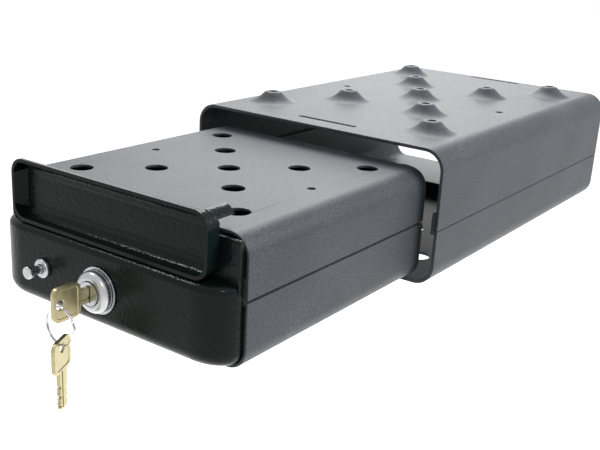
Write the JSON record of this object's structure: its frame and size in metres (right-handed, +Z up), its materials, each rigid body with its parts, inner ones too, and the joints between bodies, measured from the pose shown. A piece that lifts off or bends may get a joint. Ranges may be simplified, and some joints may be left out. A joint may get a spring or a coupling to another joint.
{
  "type": "car safe",
  "caption": "Small sheet steel car safe: a casing with a key-locked drawer that slides into a cradle screwed up under a seat or shelf.",
  "frame": {"origin": "the centre of the nine cones' flat tops, where the cradle is screwed up", "axes": "+X to the right seen from the drawer front, +Y from the drawer front to the cradle's rear, +Z up towards what the cradle is screwed to"},
  "size_m": [0.178, 0.4656, 0.1143],
  "materials": {
    "satin_black": "satin black powder coat with a fine grain",
    "gloss_black": "gloss black coat with a slight hammer dimple",
    "bright_zinc": "bright plated zinc",
    "steel": "plain zinc-plated steel",
    "nickel_brass": "nickel brass, worn and slightly olive"
  },
  "bodies": {
    "cradle": {"cradle_top_shell": "satin_black", "cradle_bottom_shell": "satin_black", "cradle_stop": "satin_black"},
    "casing": {"casing_top_shell": "satin_black", "casing_bottom_shell": "satin_black", "casing_rear_wall": "satin_black"},
    "drawer": {"drawer_tray": "satin_black", "front_cap": "gloss_black", "handle_pan": "gloss_black", "cap_rivet_1": "steel", "cap_rivet_2": "steel", "cap_rivet_3": "steel", "cap_rivet_4": "steel", "lock_body": "bright_zinc", "lock_washer": "bright_zinc", "lock_nut": "steel", "button_bush": "bright_zinc", "button_nut": "steel"},
    "plug": {"lock_plug": "bright_zinc", "lock_cam": "steel", "cam_screw": "steel"},
    "key": {"key": "nickel_brass"},
    "ring": {"key_ring": "steel"},
    "spare": {"spare_key": "nickel_brass"},
    "button": {"button_plunger": "bright_zinc", "button_clip": "steel", "button_spring": "steel"}
  },
  "joints": [
    {"name": "casing_slide", "type": "slide", "parent": "cradle", "child": "casing", "axis": [0, 1, 0], "range_m": [0, 0.16355]},
    {"name": "drawer_slide", "type": "slide", "parent": "casing", "child": "drawer", "axis": [0, -1, 0], "range_m": [0, 0.12]},
    {"name": "plug_turn", "type": "hinge", "parent": "drawer", "child": "plug", "pos_m": [0, -0.3, -0.0623], "axis": [0, 1, 0], "range_deg": [0, 90]},
    {"name": "key_pull", "type": "slide", "parent": "plug", "child": "key", "axis": [0, -1, 0], "range_m": [0, 0.025]},
    {"name": "ring_swing", "type": "hinge", "parent": "key", "child": "ring", "pos_m": [0, -0.325, -0.0637], "axis": [1, 0, 0], "range_deg": [-60, 8]},
    {"name": "spare_swing", "type": "hinge", "parent": "ring", "child": "spare", "pos_m": [0, -0.325, -0.0821], "axis": [1, 0, 0], "range_deg": [-40, 5]},
    {"name": "button_press", "type": "slide", "parent": "drawer", "child": "button", "axis": [0, 1, 0], "range_m": [0, 0.0035], "stiffness_N_per_m": 300, "springref_m": -0.002, "deforming": ["button_spring"]}
  ]
}
